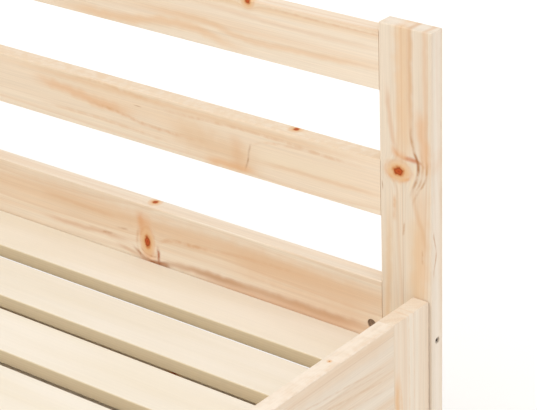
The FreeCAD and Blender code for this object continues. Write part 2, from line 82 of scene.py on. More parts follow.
# Streaks and grain lines: axis along, axis across, points on the two (mm), half width (mm), strength, colour
# A few entries are painted light and shade, each marked above it
STREAKS = {
    "back_top_rail": [
        ("x", "z", ((300, 712), (650, 711.5), (1000, 711.5)), 4.2, 0.4, "#E6C7A0"),
        ("x", "z", ((560, 676), (698, 680), (776, 669), (854, 671), (1000, 678)), 4, 0.45, "#E2B98C"),
        ("x", "z", ((440, 655), (574, 657), (678, 668), (727, 660), (800, 652)), 6, 0.5, "#E3B684"),
        ("x", "z", ((640, 706), (760, 700), (839, 697), (1000, 697)), 3.4, 0.26, "#D8AE84"),
        ("x", "z", ((770, 719), (869, 714), (1000, 715)), 1.6, 0.4, "#D6AA80"),
    ],
    "back_middle_rail": [
        ("x", "z", ((450, 548), (560, 545), (660, 538), (745, 532)), 14, 0.2, "#E8C294"),
        ("x", "z", ((400, 545), (474, 540), (530, 534), (600, 532)), 7, 0.5, "#E2AA70"),
        ("x", "z", ((480, 535), (557, 529), (621, 522), (667, 522), (720, 524)), 2.5, 0.55, "#D8A878"),
        ("x", "z", ((470, 549), (514, 562), (574, 559), (650, 553)), 2.5, 0.45, "#DDB488"),
        ("x", "z", ((590, 549), (667, 550), (736, 553), (802, 553), (879, 550), (970, 547)), 2.2, 0.5, "#D9AE82"),
        ("x", "z", ((630, 528), (735, 519), (800, 513)), 17, 0.42, "#DDB587"),
        ("x", "z", ((690, 500), (737, 501.5), (784, 503)), 6, 0.5, "#E3AA6E"),
        ("z", "x", ((490, 744), (519, 749), (549, 743)), 10, 0.3, "#DDAA78"),
        ("z", "x", ((498, 759), (506, 761.5), (515, 764.4), (524, 766.1), (534, 768.6), (541, 771)), 1.5, 0.7,
         "#A8703F"),
        ("x", "z", ((745, 518), (790, 526), (860, 529), (940, 529)), 10, 0.55, "#EFE0C8"),
        # Painted light: the top edge, warmer than the face
        ("x", "z", ((-500, 564.5), (750, 564.5), (2000, 564.5)), 1.2, 0.5, "#E4C8A4"),
        ("x", "z", ((300, 558), (650, 557), (1000, 557)), 4.4, 0.5, "#E3BE94"),
        ("x", "z", ((760, 528), (775, 538), (800, 546), (850, 549), (915, 546)), 1.8, 0.45, "#DDB48A"),
        ("x", "z", ((760, 513), (829, 519), (892, 519), (980, 519)), 3, 0.4, "#E0B98F"),
        ("x", "z", ((410, 509), (505, 513), (580, 511), (670, 504)), 2.5, 0.4, "#DDB78D"),
    ],
    "back_bottom_rail": [
        ("x", "z", ((640, 330), (750, 327), (829, 333), (980, 336)), 15, 0.6, "#D8A478"),
        ("x", "z", ((700, 374), (800, 372), (980, 366)), 20, 0.4, "#DDB288"),
        ("x", "z", ((608, 331), (656, 340), (723, 340.5), (790, 342), (880, 342), (980, 345)), 5.0, 0.55, "#BE926C"),
        ("x", "z", ((612, 364), (644, 372.5), (695, 376), (763, 382), (870, 383)), 2.9, 0.36, "#D7A678"),
        ("x", "z", ((570, 326), (604, 329), (640, 338), (690, 340.5), (770, 341)), 4.2, 0.5, "#BE9470"),
        ("x", "z", ((250, 389), (650, 389), (1050, 389)), 12, 0.4, "#E2BC95"),
        ("x", "z", ((400, 348), (475, 348), (521, 351), (575, 342)), 4, 0.45, "#CFA076"),
        ("x", "z", ((400, 383), (491, 380), (560, 379)), 3, 0.35, "#D9AE82"),
        ("z", "x", ((312, 600), (342, 596), (358, 593), (374, 591), (408, 586)), 10, 0.5, "#E0A878"),
        ("z", "x", ((358, 583), (378, 584), (400, 584)), 5, 0.45, "#DDA06C"),
        ("x", "z", ((534, 342), (576, 335), (610, 327)), 3.2, 0.4, "#C6946A"),
        ("z", "x", ((322, 588), (335, 582), (343, 577.5), (354, 575.5), (365, 577), (380, 580)), 2.2, 0.4, "#C8905E"),
        ("x", "z", ((562, 352), (572, 343), (583, 336.5), (595, 333), (604, 332), (616, 334), (630, 338)), 2.6, 0.95,
         "#AC6E44"),
        ("x", "z", ((572, 352), (580, 344.5), (590, 339), (602, 337), (612, 339)), 1.5, 0.8, "#F0D6BC"),
        ("x", "z", ((576, 352), (584, 345.5), (592.5, 341), (604, 340), (609, 344), (612, 352)), 1.5, 0.6, "#B88258"),
        ("z", "x", ((310, 611), (322, 610.8), (335, 610.6), (347, 610.6), (360, 611.2)), 2.4, 0.95, "#AC5E32"),
        ("x", "z", ((596, 331), (612, 333), (632, 334)), 3.2, 0.6, "#B07C56"),
        ("x", "z", ((600, 358), (612, 363), (624, 368), (640, 372), (660, 373.5), (700, 375)), 2.9, 0.4, "#D09A68"),
        ("x", "z", ((512, 351.5), (523.5, 352.8), (535, 354)), 1.6, 0.55, "#B27344"),
        ("x", "z", ((539, 364.5), (551, 366), (563, 367)), 1.6, 0.4, "#B98050"),
    ],
    "back_post_right": [
        ("z", "x", ((540, 992), (649, 990), (800, 989)), 10, 0.55, "#E4BC8E"),
        ("z", "x", ((360, 1008), (441, 1008), (520, 1008)), 11, 0.5, "#E5C090"),
        ("z", "x", ((260, 966), (369, 966), (420, 968), (540, 970)), 4, 0.45, "#DDB88A"),
        ("z", "x", ((400, 1014), (480, 1015), (560, 1016)), 10, 0.4, "#E2BC96"),
        # Painted light: the outer edge, paler than the face
        ("z", "y", ((-300, 465), (400, 465), (1200, 465)), 6, 0.5, "#EEE2D4"),
        ("z", "x", ((564, 1009), (594, 1003), (622, 1000), (671, 999), (760, 999), (860, 1000)), 3.4, 0.5, "#CF9E6C"),
        ("z", "x", ((530, 994), (545, 1000.5), (560, 1004.6), (570, 1005.2), (577, 1003)), 1.8, 0.6, "#F0DDC0"),
        ("z", "x", ((524, 997), (538, 1001.9), (546.5, 1005.3), (559.6, 1009), (570, 1010.1), (577, 1007.5),
                    (588, 1003.6), (599.5, 1000.6), (622, 999.5)), 2.0, 0.75, "#B88250"),
        ("z", "x", ((528, 1001), (538, 1006), (548, 1011.5), (560, 1015), (572, 1015.5), (594, 1012)), 1.5, 0.5,
         "#C08C58"),
        ("z", "x", ((560, 1021), (616, 1020), (676, 1019), (790, 1019)), 3.0, 0.5, "#D9B088"),
        ("z", "x", ((570, 992), (574, 986), (579, 980.5), (589, 977.4), (604, 974), (618, 971.5), (664, 968)), 3.4,
         0.42, "#D3A277"),
        ("x", "z", ((973, 588), (980, 579.5), (986, 575.2), (994, 574.8), (1001, 575), (1008, 575.2), (1014, 573),
                    (1024, 567)), 2.3, 0.65, "#C07A48"),
        ("x", "z", ((970, 584), (984, 577.5), (998, 576)), 5.0, 0.5, "#E0AA78"),
        ("x", "z", ((990, 574.6), (1000.6, 575), (1011, 575)), 3.0, 0.55, "#C8764A"),
        ("z", "x", ((558, 1010.5), (572, 1009.5), (586, 1004.5)), 1.8, 0.7, "#A06A40"),
        ("x", "z", ((960, 560), (968, 552.5), (975, 548.6), (984.5, 547), (994, 550), (1001, 556), (1006, 563)), 2.6,
         0.7, "#D98F50"),
        ("z", "x", ((552, 1019), (579, 1020), (591, 1018), (606, 1014.7), (644, 1012)), 7, 0.5, "#DFA56A"),
        ("z", "x", ((516, 1001), (531, 1006), (539, 1010), (546.7, 1015.3), (560, 1020), (570, 1021.4), (586, 1021)),
         1.7, 0.6, "#BC8852"),
        ("z", "x", ((459, 1019), (486, 1016), (497, 1012.5), (508, 1008), (522, 1004.5), (548, 1002)), 3.4, 0.32,
         "#D4A470"),
        ("z", "x", ((490, 977), (509.5, 977.3), (530, 977.5)), 2.6, 0.55, "#D9A66E"),
        ("z", "x", ((477, 988.5), (486.5, 989.6), (497, 990.3)), 1.3, 0.6, "#BC8348"),
        ("z", "x", ((447, 1015), (458, 1015), (469, 1015)), 1.3, 0.5, "#BC8348"),
        ("z", "y", ((428, 456.8), (438, 457), (446, 458.6), (455, 460.8), (464, 461.6), (476, 459.6), (490, 457),
                    (500, 456.8)), 1.2, 0.7, "#C08A56"),
    ],
    "right_back_stile": [
        ("z", "y", ((200, 389), (300, 389), (350, 388)), 5, 0.7, "#E0AE76"),
        ("z", "y", ((200, 401), (290, 398), (345, 391)), 2.0, 0.5, "#E2B684"),
        ("z", "y", ((160, 414), (480, 412)), 1.5, 0.35, "#DDB98F"),
        ("z", "y", ((160, 424), (480, 421)), 1.2, 0.3, "#DDB98F"),
        # Painted shade: a dark line along the joint to the post, where the boards touch
        ("z", "y", ((-80, 452.5), (480, 452.5)), 0.8, 0.85, "#875A3A"),
    ],
    "right_end_panel": [
        ("y", "z", ((120, 394), (250, 392), (420, 390)), 11, 0.35, "#DDBB97"),
        ("y", "z", ((140, 386), (238, 374.5), (320, 366), (400, 356)), 1.2, 0.4, "#CDA680"),
        ("y", "z", ((140, 379), (238, 368), (320, 359), (400, 349)), 1.1, 0.3, "#CDA680"),
        ("y", "z", ((160, 370), (260, 357), (330, 348), (400, 338)), 1.6, 0.4, "#CFAA84"),
        ("y", "z", ((190, 354), (290, 340), (400, 325)), 1.2, 0.3, "#CDA680"),
        # Painted light: the top edge, paler than the faces
        ("y", "z", ((-700, 404), (300, 404), (1300, 404)), 0.9, 0.6, "#F3E8DA"),
    ],
}
# Streaks narrower than this half width, mm, come and go along the grain
FINE_STREAK = 3.0
# Fasteners: profiles as radius and height over the head's top, mm, from the far end's pole to the head's pole
WOOD_SCREW = ((0.0, -32.0), (0.5, -31.2), (2.0, -27.0), (2.0, -2.0), (3.95, -0.1), (3.85, 0.0), (0.0, -1.9))
PAN_SCREW = ((0.0, -16.4), (0.5, -15.6), (2.0, -12.4), (2.0, -2.4), (3.75, -2.4), (3.75, -1.2), (3.4, -0.5), (2.7, 0.0),
             (0.0, -1.9))
BARREL_NUT = ((0.0, -17.0), (5.4, -17.0), (6.0, -16.4), (6.0, -0.5), (5.5, 0.0), (4.7, 0.0), (4.2, -0.4), (0.0, -0.4))
# Cross recess of a screw: reach and half width of its arms, and the floor's depth, mm
CROSS_REACH, CROSS_HALF, CROSS_DEPTH = 2.2, 0.45, 1.6
# Screws, m: wood screws sunk, and caster screws from the wheel's middle and under the bracket's top
SCREW_SINK, CASTER_SCREW_X, CASTER_SCREW_Y, CASTER_SCREW_DROP = 0.0003, 0.022, 0.017, 0.0049
# Ledger screws: the end ones from the ledger's ends, m, and how many
LEDGER_INSET, LEDGER_SCREWS = 0.1, 6
# Barrel nuts, m: sunk, from a board's end, the rail's under its top, and the stiles' over the floor
NUT_SINK, NUT_SET, NUT_DROP, STILE_NUTS = 0.001, 0.015, 0.06, (0.09, 0.235)
# A stile's half thickness and half width, m
STILE_HALF_THICK, STILE_HALF_WIDE = 0.011, 0.035
# Studio: half the floor's side, m, and suns as name, place, spread in degrees, power and tint
FLOOR_HALF = 60.0
SUNS = (
    ("overhead light", (0.2, -0.3, 3.0), 100, 1.5, "#FFFFFF"),
    ("left front light", (-2.6, -4.8, 3.4), 30, 0.82, "#FFF3E4"),
    ("right light", (3.6, 0.3, 1.0), 60, 0.46, "#F8F8FC"),
)


def linear(code):
    """An sRGB hex colour as linear red, green, blue and alpha."""
    s = np.array([int(code[i:i + 2], 16) for i in (1, 3, 5)]) / 255
    return (*np.where(s <= 0.04045, s / 12.92, ((s + 0.055) / 1.055) ** 2.4), 1.0)


def add(tree, kind, inputs=(), out=0, **settings):
    """Adds a node with its settings and returns one of its outputs.

    inputs maps sockets to values, or to the outputs that feed them.
    """
    node = tree.nodes.new("ShaderNode" + kind)
    for name, value in settings.items():
        setattr(node, name, value)
    for socket, value in dict(inputs).items():
        if isinstance(value, bpy.types.NodeSocket):
            tree.links.new(value, node.inputs[socket])
        else:
            node.inputs[socket].default_value = value
    return node.outputs[out]


def figure_group(name, inputs, outputs):
    """An empty node group with the given sockets: its tree, its inner inputs by name and its output node."""
    tree = bpy.data.node_groups.new(name, "ShaderNodeTree")
    for way, sockets in (("INPUT", inputs), ("OUTPUT", outputs)):
        for socket, kind in sockets:
            tree.interface.new_socket(socket, in_out=way, socket_type="NodeSocket" + kind)
    source, sink = tree.nodes.new("NodeGroupInput"), tree.nodes.new("NodeGroupOutput")
    return tree, {socket.name: socket for socket in source.outputs if socket.name}, sink


def knot_figure():
    """A branch through the wood.

    Its distance is from the branch's line, in radii and made ragged by noise. The grain near it is pushed sideways
    by a bell curve, and lifted by another, so growth rings flow round it and close up on it.
    """
    tree, given, sink = figure_group(
        "pine knot",
        [("Place", "Vector"), ("Bent", "Vector"), ("Lift", "Float"), ("Nearness", "Float"),
         ("Centre", "Vector"), ("Branch", "Vector"), ("Radius", "Float"), ("Pale", "Float")],
        [("Bent", "Vector"), ("Lift", "Float"), ("Nearness", "Float")])
    apart = add(tree, "VectorMath", {0: given["Place"], 1: given["Centre"]}, operation="SUBTRACT")
    along = add(tree, "VectorMath", {0: apart, 1: given["Branch"]}, "Value", operation="DOT_PRODUCT")
    down = add(tree, "VectorMath", {0: given["Branch"], "Scale": along}, operation="SCALE")
    out = add(tree, "VectorMath", {0: apart, 1: down}, operation="SUBTRACT")
    length = add(tree, "VectorMath", {0: out}, "Value", operation="LENGTH")
    radii = add(tree, "Math", {0: length, 1: given["Radius"]}, operation="DIVIDE")
    # Ragged by lobes 5 mm across
    lobes = add(tree, "TexNoise", {"Vector": given["Place"], "Scale": 1 / 5, "Detail": 2.0})
    ragged = add(tree, "Math", {0: lobes, 1: 0.8, 2: -0.4}, operation="MULTIPLY_ADD")
    ragged = add(tree, "Math", {0: ragged, 1: given["Pale"]}, operation="ADD")
    distance = add(tree, "Math", {0: radii, 1: ragged}, operation="ADD")
    square = add(tree, "Math", {0: radii, 1: radii}, operation="MULTIPLY")
    # A bell curve of the distance, down to 0.37 at 3 radii
    near = add(tree, "Math", {0: 2.718, 1: add(tree, "Math", {0: square, 1: -0.11}, operation="MULTIPLY")},
               operation="POWER")
    # Grain is pushed out by up to 0.78 of its distance, and a quarter as much along the board
    push = add(tree, "VectorMath", {0: out, "Scale": add(tree, "Math", {0: near, 1: -0.78}, operation="MULTIPLY")},
               operation="SCALE")
    sideways = add(tree, "VectorMath", {0: push, 1: (0.25, 1, 1), 2: given["Bent"]}, operation="MULTIPLY_ADD")
    # Rings rise by up to 1.1 radii
    rise = add(tree, "Math", {0: near, 1: given["Radius"]}, operation="MULTIPLY")
    lift = add(tree, "Math", {0: rise, 1: 1.1, 2: given["Lift"]}, operation="MULTIPLY_ADD")
    nearest = add(tree, "Math", {0: distance, 1: given["Nearness"]}, operation="MINIMUM")
    for name, value in (("Bent", sideways), ("Lift", lift), ("Nearness", nearest)):
        tree.links.new(value, sink.inputs[name])
    return tree


def pine_figure():
    """Growth rings, warm heartwood streaks, fibres and resin flecks of one board.

    A ring's number is the distance from the board's leaning, wandering pith, divided by the ring width. Each ring
    goes slowly from pale early wood to darker late wood and turns back sharply, at a strength of its own.
    """
    tree, given, sink = figure_group(
        "pine figure",
        [("Bent", "Vector"), ("Lift", "Float"), ("Pith", "Vector"), ("Lean", "Vector"), ("Ring", "Float"),
         ("Seed", "Float")],
        [("Late", "Float"), ("Warm", "Float"), ("Fibre", "Float"), ("Fleck", "Float")])
    place, seed = given["Bent"], given["Seed"]
    run = add(tree, "SeparateXYZ", {0: place}, "X")
    lean = add(tree, "VectorMath", {0: given["Lean"], "Scale": run}, operation="SCALE")
    pith = add(tree, "VectorMath", {0: given["Pith"], 1: lean}, operation="ADD")
    # The pith wanders 16 mm to each side in waves about 500 mm long
    slow = add(tree, "VectorMath", {0: place, 1: (1 / 500, 0, 0)}, operation="MULTIPLY")
    wander = add(tree, "TexNoise", {"Vector": slow, "W": seed, "Scale": 1.0, "Detail": 1.0}, "Color",
                 noise_dimensions="4D")
    strayed = add(tree, "VectorMath", {0: wander, 1: (0, 32, 32), 2: (0, -16, -16)}, operation="MULTIPLY_ADD")
    pith = add(tree, "VectorMath", {0: pith, 1: strayed}, operation="ADD")
    spoke = add(tree, "VectorMath", {0: place, 1: pith}, operation="SUBTRACT")
    spoke = add(tree, "VectorMath", {0: spoke, 1: (0, 1, 1)}, operation="MULTIPLY")
    radius = add(tree, "VectorMath", {0: spoke}, "Value", operation="LENGTH")
    # Rings buckle by 3 mm over patches 300 mm long and 30 mm wide
    patch = add(tree, "VectorMath", {0: place, 1: (1 / 300, 1 / 30, 1 / 30)}, operation="MULTIPLY")
    buckle = add(tree, "TexNoise", {"Vector": patch, "W": seed, "Scale": 1.0, "Detail": 2.0}, noise_dimensions="4D")
    radius = add(tree, "Math", {0: buckle, 1: 7.0, 2: radius}, operation="MULTIPLY_ADD")
    radius = add(tree, "Math", {0: radius, 1: given["Lift"]}, operation="ADD")
    # Good and bad years: ring widths change by half over about 25 mm
    years = add(tree, "TexNoise", {"W": add(tree, "Math", {0: radius, 1: 1 / 25, 2: seed}, operation="MULTIPLY_ADD"),
                                   "Scale": 1.0, "Detail": 1.0}, noise_dimensions="1D")
    count = add(tree, "Math", {0: radius, 1: given["Ring"]}, operation="DIVIDE")
    count = add(tree, "Math", {0: years, 1: 3.0, 2: count}, operation="MULTIPLY_ADD")
    part = add(tree, "Math", {0: count}, operation="FRACT")
    year = add(tree, "Math", {0: count}, operation="FLOOR")
    own = add(tree, "TexWhiteNoise", {"W": add(tree, "Math", {0: year, 1: seed}, operation="ADD")},
              noise_dimensions="1D")
    rising = add(tree, "MapRange", {"Value": part, "From Min": 0.0, "From Max": 0.8}, interpolation_type="SMOOTHSTEP")
    falling = add(tree, "MapRange", {"Value": part, "From Min": 1.0, "From Max": 0.76}, interpolation_type="SMOOTHSTEP")
    rising = add(tree, "Math", {0: rising, 1: 1.3}, operation="POWER")
    late = add(tree, "Math", {0: rising, 1: falling}, operation="MULTIPLY")
    own = add(tree, "Math", {0: own, 1: 2.2}, operation="POWER")
    late = add(tree, "Math", {0: late, 1: add(tree, "MapRange", {"Value": own, "To Min": 0.28, "To Max": 1.0})},
               operation="MULTIPLY")
    # Warm streaks about 900 mm long and 30 mm wide
    streak = add(tree, "VectorMath", {0: place, 1: (1 / 900, 1 / 30, 1 / 30)}, operation="MULTIPLY")
    warm = add(tree, "TexNoise", {"Vector": streak, "W": add(tree, "Math", {0: seed, 1: 7.0}, operation="ADD"),
                                  "Scale": 1.0, "Detail": 2.0}, noise_dimensions="4D")
    warm = add(tree, "MapRange", {"Value": warm, "From Min": 0.42, "From Max": 0.68}, interpolation_type="SMOOTHSTEP")
    # Fibres 0.05 mm wide, drawn 1.6 mm wide so that they show
    thread = add(tree, "VectorMath", {0: place, 1: (1 / 110, 1 / 1.6, 1 / 1.6)}, operation="MULTIPLY")
    fibre = add(tree, "TexNoise", {"Vector": thread, "Scale": 1.0, "Detail": 2.0})
    # Resin ducts: dashes some 12 mm long and 1 mm wide, here and there
    duct = add(tree, "VectorMath", {0: place, 1: (1 / 85, 1 / 11, 1 / 11)}, operation="MULTIPLY")
    cell = add(tree, "TexVoronoi", {"Vector": duct, "Scale": 1.0, "Randomness": 1.0}, "Distance")
    chosen = add(tree, "SeparateColor", {0: cell.node.outputs["Color"]}, 0)
    dash = add(tree, "MapRange", {"Value": cell, "From Min": 0.1, "From Max": 0.03})
    fleck = add(tree, "Math", {0: dash, 1: add(tree, "Math", {0: chosen, 1: 0.86}, operation="GREATER_THAN")},
                operation="MULTIPLY")
    for name, value in (("Late", late), ("Warm", warm), ("Fibre", fibre), ("Fleck", fleck)):
        tree.links.new(value, sink.inputs[name])
    return tree


def grain_streak(tree, tone, axes, ripple, patches, streak):
    """A soft band in the wood along a smooth curve through given points.

    Its cover is its strength, times a smooth step that ends 1.7 half widths from the curve, times a fade over the
    outer 0.28 of each end. A fine one's cover is also multiplied by patches of noise.
    """
    # A few bands, marked in STREAKS, are painted light and shade, not figure
    run, side, points, half, strength, code = streak
    points = np.array(points, float)
    (start, low), (end, high) = points.min(0), points.max(0)
    high = max(high, low + 1)
    turn = add(tree, "MapRange", {"Value": axes["xyz".index(run)], "From Min": start, "From Max": end})
    curve = add(tree, "FloatCurve", {"Value": turn})
    bends = curve.node.mapping.curves[0].points
    spots = (points - (start, low)) / (end - start, high - low)
    bends[0].location, bends[1].location = spots[0], spots[-1]
    for spot in spots[1:-1]:
        bends.new(*spot)
    curve.node.mapping.update()
    line = add(tree, "Math", {0: curve, 1: high - low, 2: low}, operation="MULTIPLY_ADD")
    line = add(tree, "Math", {0: ripple, 1: half, 2: line}, operation="MULTIPLY_ADD")
    apart = add(tree, "Math", {0: axes["xyz".index(side)], 1: line}, operation="SUBTRACT")
    apart = add(tree, "Math", {0: apart}, operation="ABSOLUTE")
    band = add(tree, "MapRange", {"Value": apart, "From Min": 1.7 * half, "From Max": 0.0, "To Max": strength},
               interpolation_type="SMOOTHSTEP")
    way = add(tree, "Math", {0: add(tree, "Math", {0: turn, 1: 0.5}, operation="SUBTRACT")}, operation="ABSOLUTE")
    fade = add(tree, "MapRange", {"Value": way, "From Min": 0.5, "From Max": 0.22}, interpolation_type="SMOOTHSTEP")
    cover = add(tree, "Math", {0: band, 1: fade}, operation="MULTIPLY")
    if half < FINE_STREAK:
        cover = add(tree, "Math", {0: cover, 1: patches}, operation="MULTIPLY")
    return add(tree, "Mix", {0: cover, 6: tone, 7: linear(code)}, 2, data_type="RGBA")


def pine_board(node, seed):
    """Sanded, unfinished pine: cream early wood, soft tan late-wood lines, warm streaks and orange-brown knots.

    Its dull sheen comes from raised fibres. Lengths run along the board's grain, its width and its thickness, in mm.
    """
    low, high = (np.array(corner) * 1000 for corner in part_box(node))
    order = np.argsort(low - high)
    middle = (low + high) / 2
    length, width, _ = (high - low)[order]
    dice = np.random.default_rng(seed)
    material = bpy.data.materials.new("sanded pine, " + node.replace("_", " "))
    material.use_nodes = True
    tree = material.node_tree
    shader = tree.nodes["Principled BSDF"]
    coords = tree.nodes.new("ShaderNodeTexCoord")
    place = add(tree, "VectorMath", {0: coords.outputs["Object"], 1: (1000,) * 3, 2: tuple(-middle)},
                operation="MULTIPLY_ADD")
    axes = add(tree, "SeparateXYZ", {0: place}).node.outputs
    place = add(tree, "CombineXYZ", {i: axes[int(axis)] for i, axis in enumerate(order)})
    # Growth: the board's pith, lean, ring width, warmth, brightness and ring strength
    pith = (dice.uniform(-0.3, 0.3) * width, dice.choice((-1, 1)) * dice.uniform(28, 70))
    lean = (dice.uniform(-0.012, 0.012), dice.uniform(-0.02, 0.02))
    own = pith, lean, dice.uniform(8.0, 13.0), dice.uniform(0.3, 0.6), dice.uniform(0.95, 1.01), dice.uniform(0.5, 0.75)
    pith, lean, ring, warmth, brightness, strength = CHOSEN.get(node, own)
    pith = Vector((0, *pith))
    shade, seam, root = None, None, seed * 3.7
    if node in STAVES:
        # Staves: each glued strip has its own pith, shade and seed
        stave, line = STAVES[node]
        across = add(tree, "SeparateXYZ", {0: place}, "Y")
        number = add(tree, "Math", {0: across, 1: line}, operation="SUBTRACT")
        number = add(tree, "Math", {0: number, 1: stave}, operation="DIVIDE")
        strip = add(tree, "Math", {0: number}, operation="FLOOR")
        shade = add(tree, "TexWhiteNoise", {"W": add(tree, "Math", {0: strip, 1: seed * 1.3}, operation="ADD")},
                    "Color", noise_dimensions="1D")
        root = add(tree, "Math", {0: strip, 1: 11.3, 2: seed * 3.7}, operation="MULTIPLY_ADD")
        offset = add(tree, "VectorMath", {0: shade, 1: (0, 60, 40), 2: tuple(pith - Vector((0, 30, 20)))},
                     operation="MULTIPLY_ADD")
        # A glue line 0.2 mm wide, drawn 0.8 mm wide so that it shows
        edge = add(tree, "Math", {0: add(tree, "Math", {0: number, 1: 0.5}, operation="ADD")}, operation="FRACT")
        edge = add(tree, "Math", {0: add(tree, "Math", {0: edge, 1: 0.5}, operation="SUBTRACT")}, operation="ABSOLUTE")
        seam = add(tree, "MapRange", {"Value": edge, "From Min": 0.8 / stave, "From Max": 0.2 / stave})
    else:
        offset = tuple(pith)
    # Knots: those of the photograph, or a few of the board's own
    knots = KNOTS.get(node)
    if knots is None:
        knots = []
        for _ in range(1 + int(length * dice.uniform(0.6, 1.4) / 600)):
            spot = np.zeros(3)
            spot[order] = (dice.uniform(-0.47, 0.47) * length, dice.uniform(-0.4, 0.4) * width, 0)
            way = np.zeros(3)
            way[order] = (dice.uniform(-0.5, 0.5), dice.uniform(-0.8, 0.8), 1)
            knots.append((spot + middle, way, dice.uniform(2.0, 7.5), dice.choice((0.0, 0.0, 0.3, 0.9))))
    bent, lift, nearness = place, 0.0, 9.0
    for spot, way, radius, pale in knots:
        way = np.array(way, float)[order]
        grown = add(tree, "Group", {
            "Place": place, "Bent": bent, "Lift": lift, "Nearness": nearness, "Radius": radius, "Pale": pale,
            "Centre": (np.array(spot, float) - middle)[order], "Branch": way / np.linalg.norm(way),
        }, node_tree=knot_tree).node.outputs
        bent, lift, nearness = (grown[name] for name in ("Bent", "Lift", "Nearness"))
    figure = add(tree, "Group", {"Bent": bent, "Lift": lift, "Pith": offset, "Lean": (0, *lean), "Ring": ring,
                                 "Seed": root}, node_tree=pine_tree).node.outputs
    late, warm, fibre, fleck = (figure[name] for name in ("Late", "Warm", "Fibre", "Fleck"))
    # Colours in layers, from early wood to knots. Rings show less on end grain, where the grain meets the face
    early, dark = linear("#F2E4D1"), linear("#DDB891")
    facing = add(tree, "SeparateXYZ", {0: coords.outputs["Normal"]}, int(order[0]))
    facing = add(tree, "Math", {0: facing}, operation="ABSOLUTE")
    end = add(tree, "MapRange", {"Value": facing, "From Min": 0.7, "From Max": 0.95, "To Min": strength,
                                 "To Max": 0.3})
    tone = add(tree, "Mix", {0: add(tree, "Math", {0: late, 1: end}, operation="MULTIPLY"), 6: early, 7: dark}, 2,
               data_type="RGBA")
    heart = add(tree, "Math", {0: warm, 1: warmth}, operation="MULTIPLY")
    tone = add(tree, "Mix", {0: heart, 6: tone, 7: linear("#E8C6A1")}, 2, data_type="RGBA")
    grain = add(tree, "MapRange", {"Value": fibre, "From Min": 0.3, "From Max": 0.7,
                                   "To Min": 0.95 * brightness, "To Max": 1.04 * brightness})
    tone = add(tree, "VectorMath", {0: tone, "Scale": grain}, operation="SCALE")
    if shade is not None:
        stripe = add(tree, "SeparateColor", {0: shade}, 0)
        tint = add(tree, "MapRange", {"Value": stripe, "To Min": 0.93, "To Max": 1.03})
        tone = add(tree, "VectorMath", {0: tone, "Scale": tint}, operation="SCALE")
        tone = add(tree, "Mix", {0: add(tree, "Math", {0: seam, 1: 0.28}, operation="MULTIPLY"), 6: tone,
                                 7: linear("#B98A5E")}, 2, data_type="RGBA")
    tone = add(tree, "Mix", {0: add(tree, "Math", {0: fleck, 1: 0.55}, operation="MULTIPLY"), 6: tone,
                             7: linear("#A8743F")}, 2, data_type="RGBA")
    if node in STREAKS:
        whole = add(tree, "VectorMath", {0: coords.outputs["Object"], 1: (1000,) * 3}, operation="MULTIPLY")
        frame_axes = add(tree, "SeparateXYZ", {0: whole}).node.outputs
        # Streaks waver by lobes 14 mm long, and fine ones come and go over 11 mm
        waver = add(tree, "TexNoise", {"Vector": place, "Scale": 1 / 14, "Detail": 1.0})
        waver = add(tree, "Math", {0: waver, 1: 0.5}, operation="SUBTRACT")
        patches = add(tree, "TexNoise", {"Vector": place, "Scale": 1 / 11, "Detail": 3.0})
        patches = add(tree, "MapRange", {"Value": patches, "From Min": 0.36, "From Max": 0.6, "To Min": 0.3})
        for streak in STREAKS[node]:
            tone = grain_streak(tree, tone, frame_axes, waver, patches, streak)
    core = add(tree, "ValToRGB", {0: add(tree, "Math", {0: nearness, 1: 0.25}, operation="MULTIPLY")})
    ramp = core.node.color_ramp
    for at, code in ((0.0, "#AC3E0A"), (0.1, "#C05214"), (0.19, "#9C420F"), (0.26, "#D08C55"), (0.38, "#E2B98C"),
                     (0.55, "#E4BD90"), (0.68, "#DDA875"), (0.82, "#E6C49C")):
        step = ramp.elements[0] if at == 0.0 else ramp.elements.new(at)
        step.position, step.color = at, linear(code)
    ramp.elements.remove(ramp.elements[-1])
    cover = add(tree, "MapRange", {"Value": nearness, "From Min": 3.7, "From Max": 1.1},
                interpolation_type="SMOOTHSTEP")
    tone = add(tree, "Mix", {0: cover, 6: tone, 7: core}, 2, data_type="RGBA")
    tree.links.new(tone, shader.inputs["Base Color"])
    gloss = add(tree, "MapRange", {"Value": late, "To Min": 0.64, "To Max": 0.5})
    tree.links.new(gloss, shader.inputs["Roughness"])
    relief = add(tree, "Math", {0: fibre, 1: 0.6, 2: late}, operation="MULTIPLY_ADD")
    normal = add(tree, "Bump", {"Strength": 0.25, "Distance": 0.0002, "Height": relief})
    tree.links.new(normal, shader.inputs["Normal"])
    shader.inputs["Specular IOR Level"].default_value = 0.35
    return material


